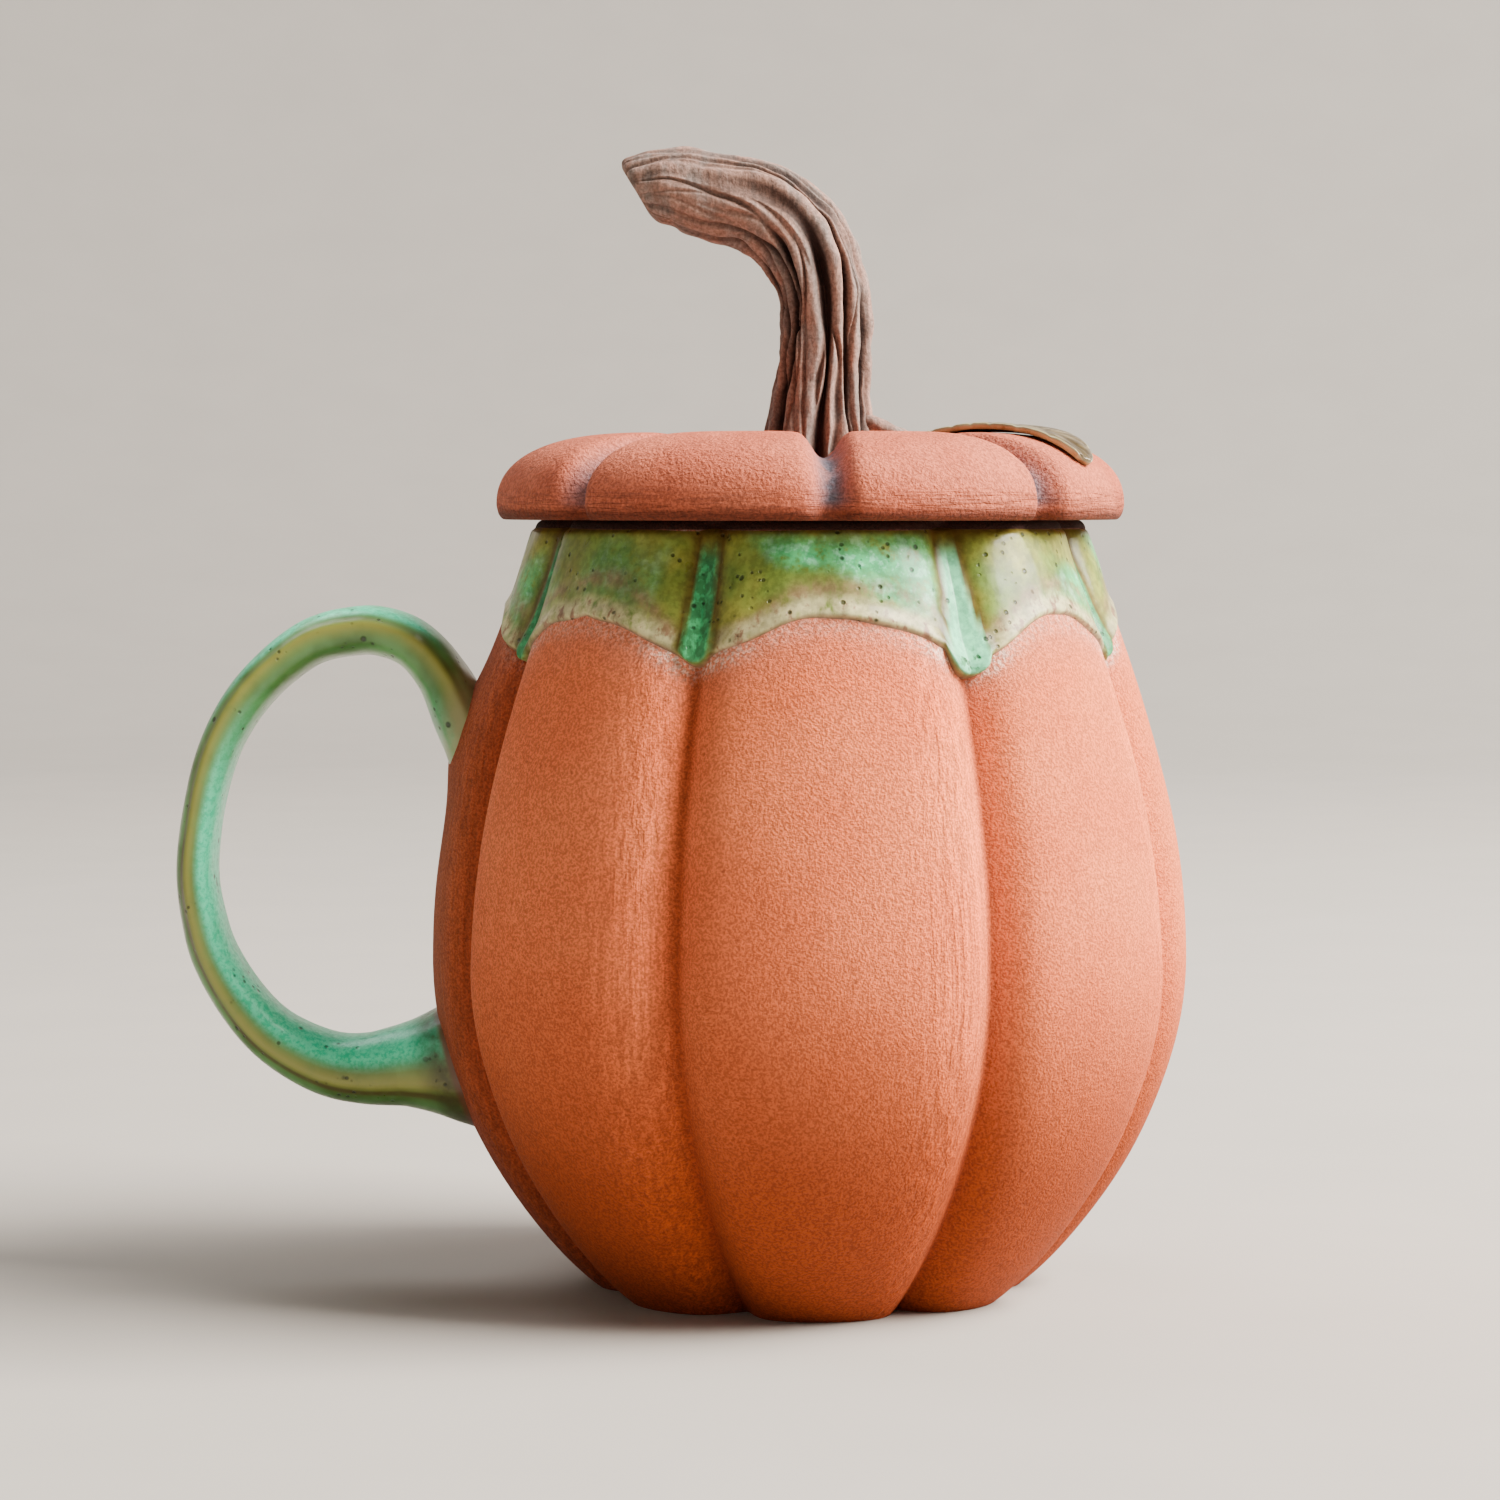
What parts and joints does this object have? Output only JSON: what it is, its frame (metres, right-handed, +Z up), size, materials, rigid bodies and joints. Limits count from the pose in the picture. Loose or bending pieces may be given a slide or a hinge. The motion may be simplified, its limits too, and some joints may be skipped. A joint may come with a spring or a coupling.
{
  "type": "lidded pumpkin mug",
  "caption": "Pumpkin-shaped lidded mug in red stoneware: a lobed cup with a glazed collar and strap handle, and a lobed lid with a bent stem and leaf.",
  "frame": {"origin": "centre of the foot, on the surface that the mug stands on", "axes": "+Z up through the stem, -X towards the handle, -Y towards the front that shows the leaf at the right"},
  "size_m": [0.1425, 0.1062, 0.1601],
  "materials": {
    "red_clay": "matte",
    "liner_glaze": "gloss",
    "green_glaze": "gloss",
    "joint_clay": "satin",
    "lid_clay": "matte",
    "dark_clay": "matte",
    "bronze_glaze": "metallic gloss"
  },
  "bodies": {
    "mug": {"mug_body": "red_clay", "liner_glaze": "liner_glaze", "collar_glaze": "green_glaze", "handle": "green_glaze", "upper_joint_fillet": "joint_clay", "lower_joint_fillet": "joint_clay"},
    "lid": {"lid_cap": "lid_clay", "lid_flange": "lid_clay", "lid_liner_glaze": "liner_glaze", "stem": "dark_clay", "leaf": "bronze_glaze", "leaf_stalk": "dark_clay"}
  },
  "joints": [
    {"name": "lid_lift", "type": "slide", "parent": "mug", "child": "lid", "axis": [0, 0, 1], "range_m": [0, 0.07]}
  ]
}
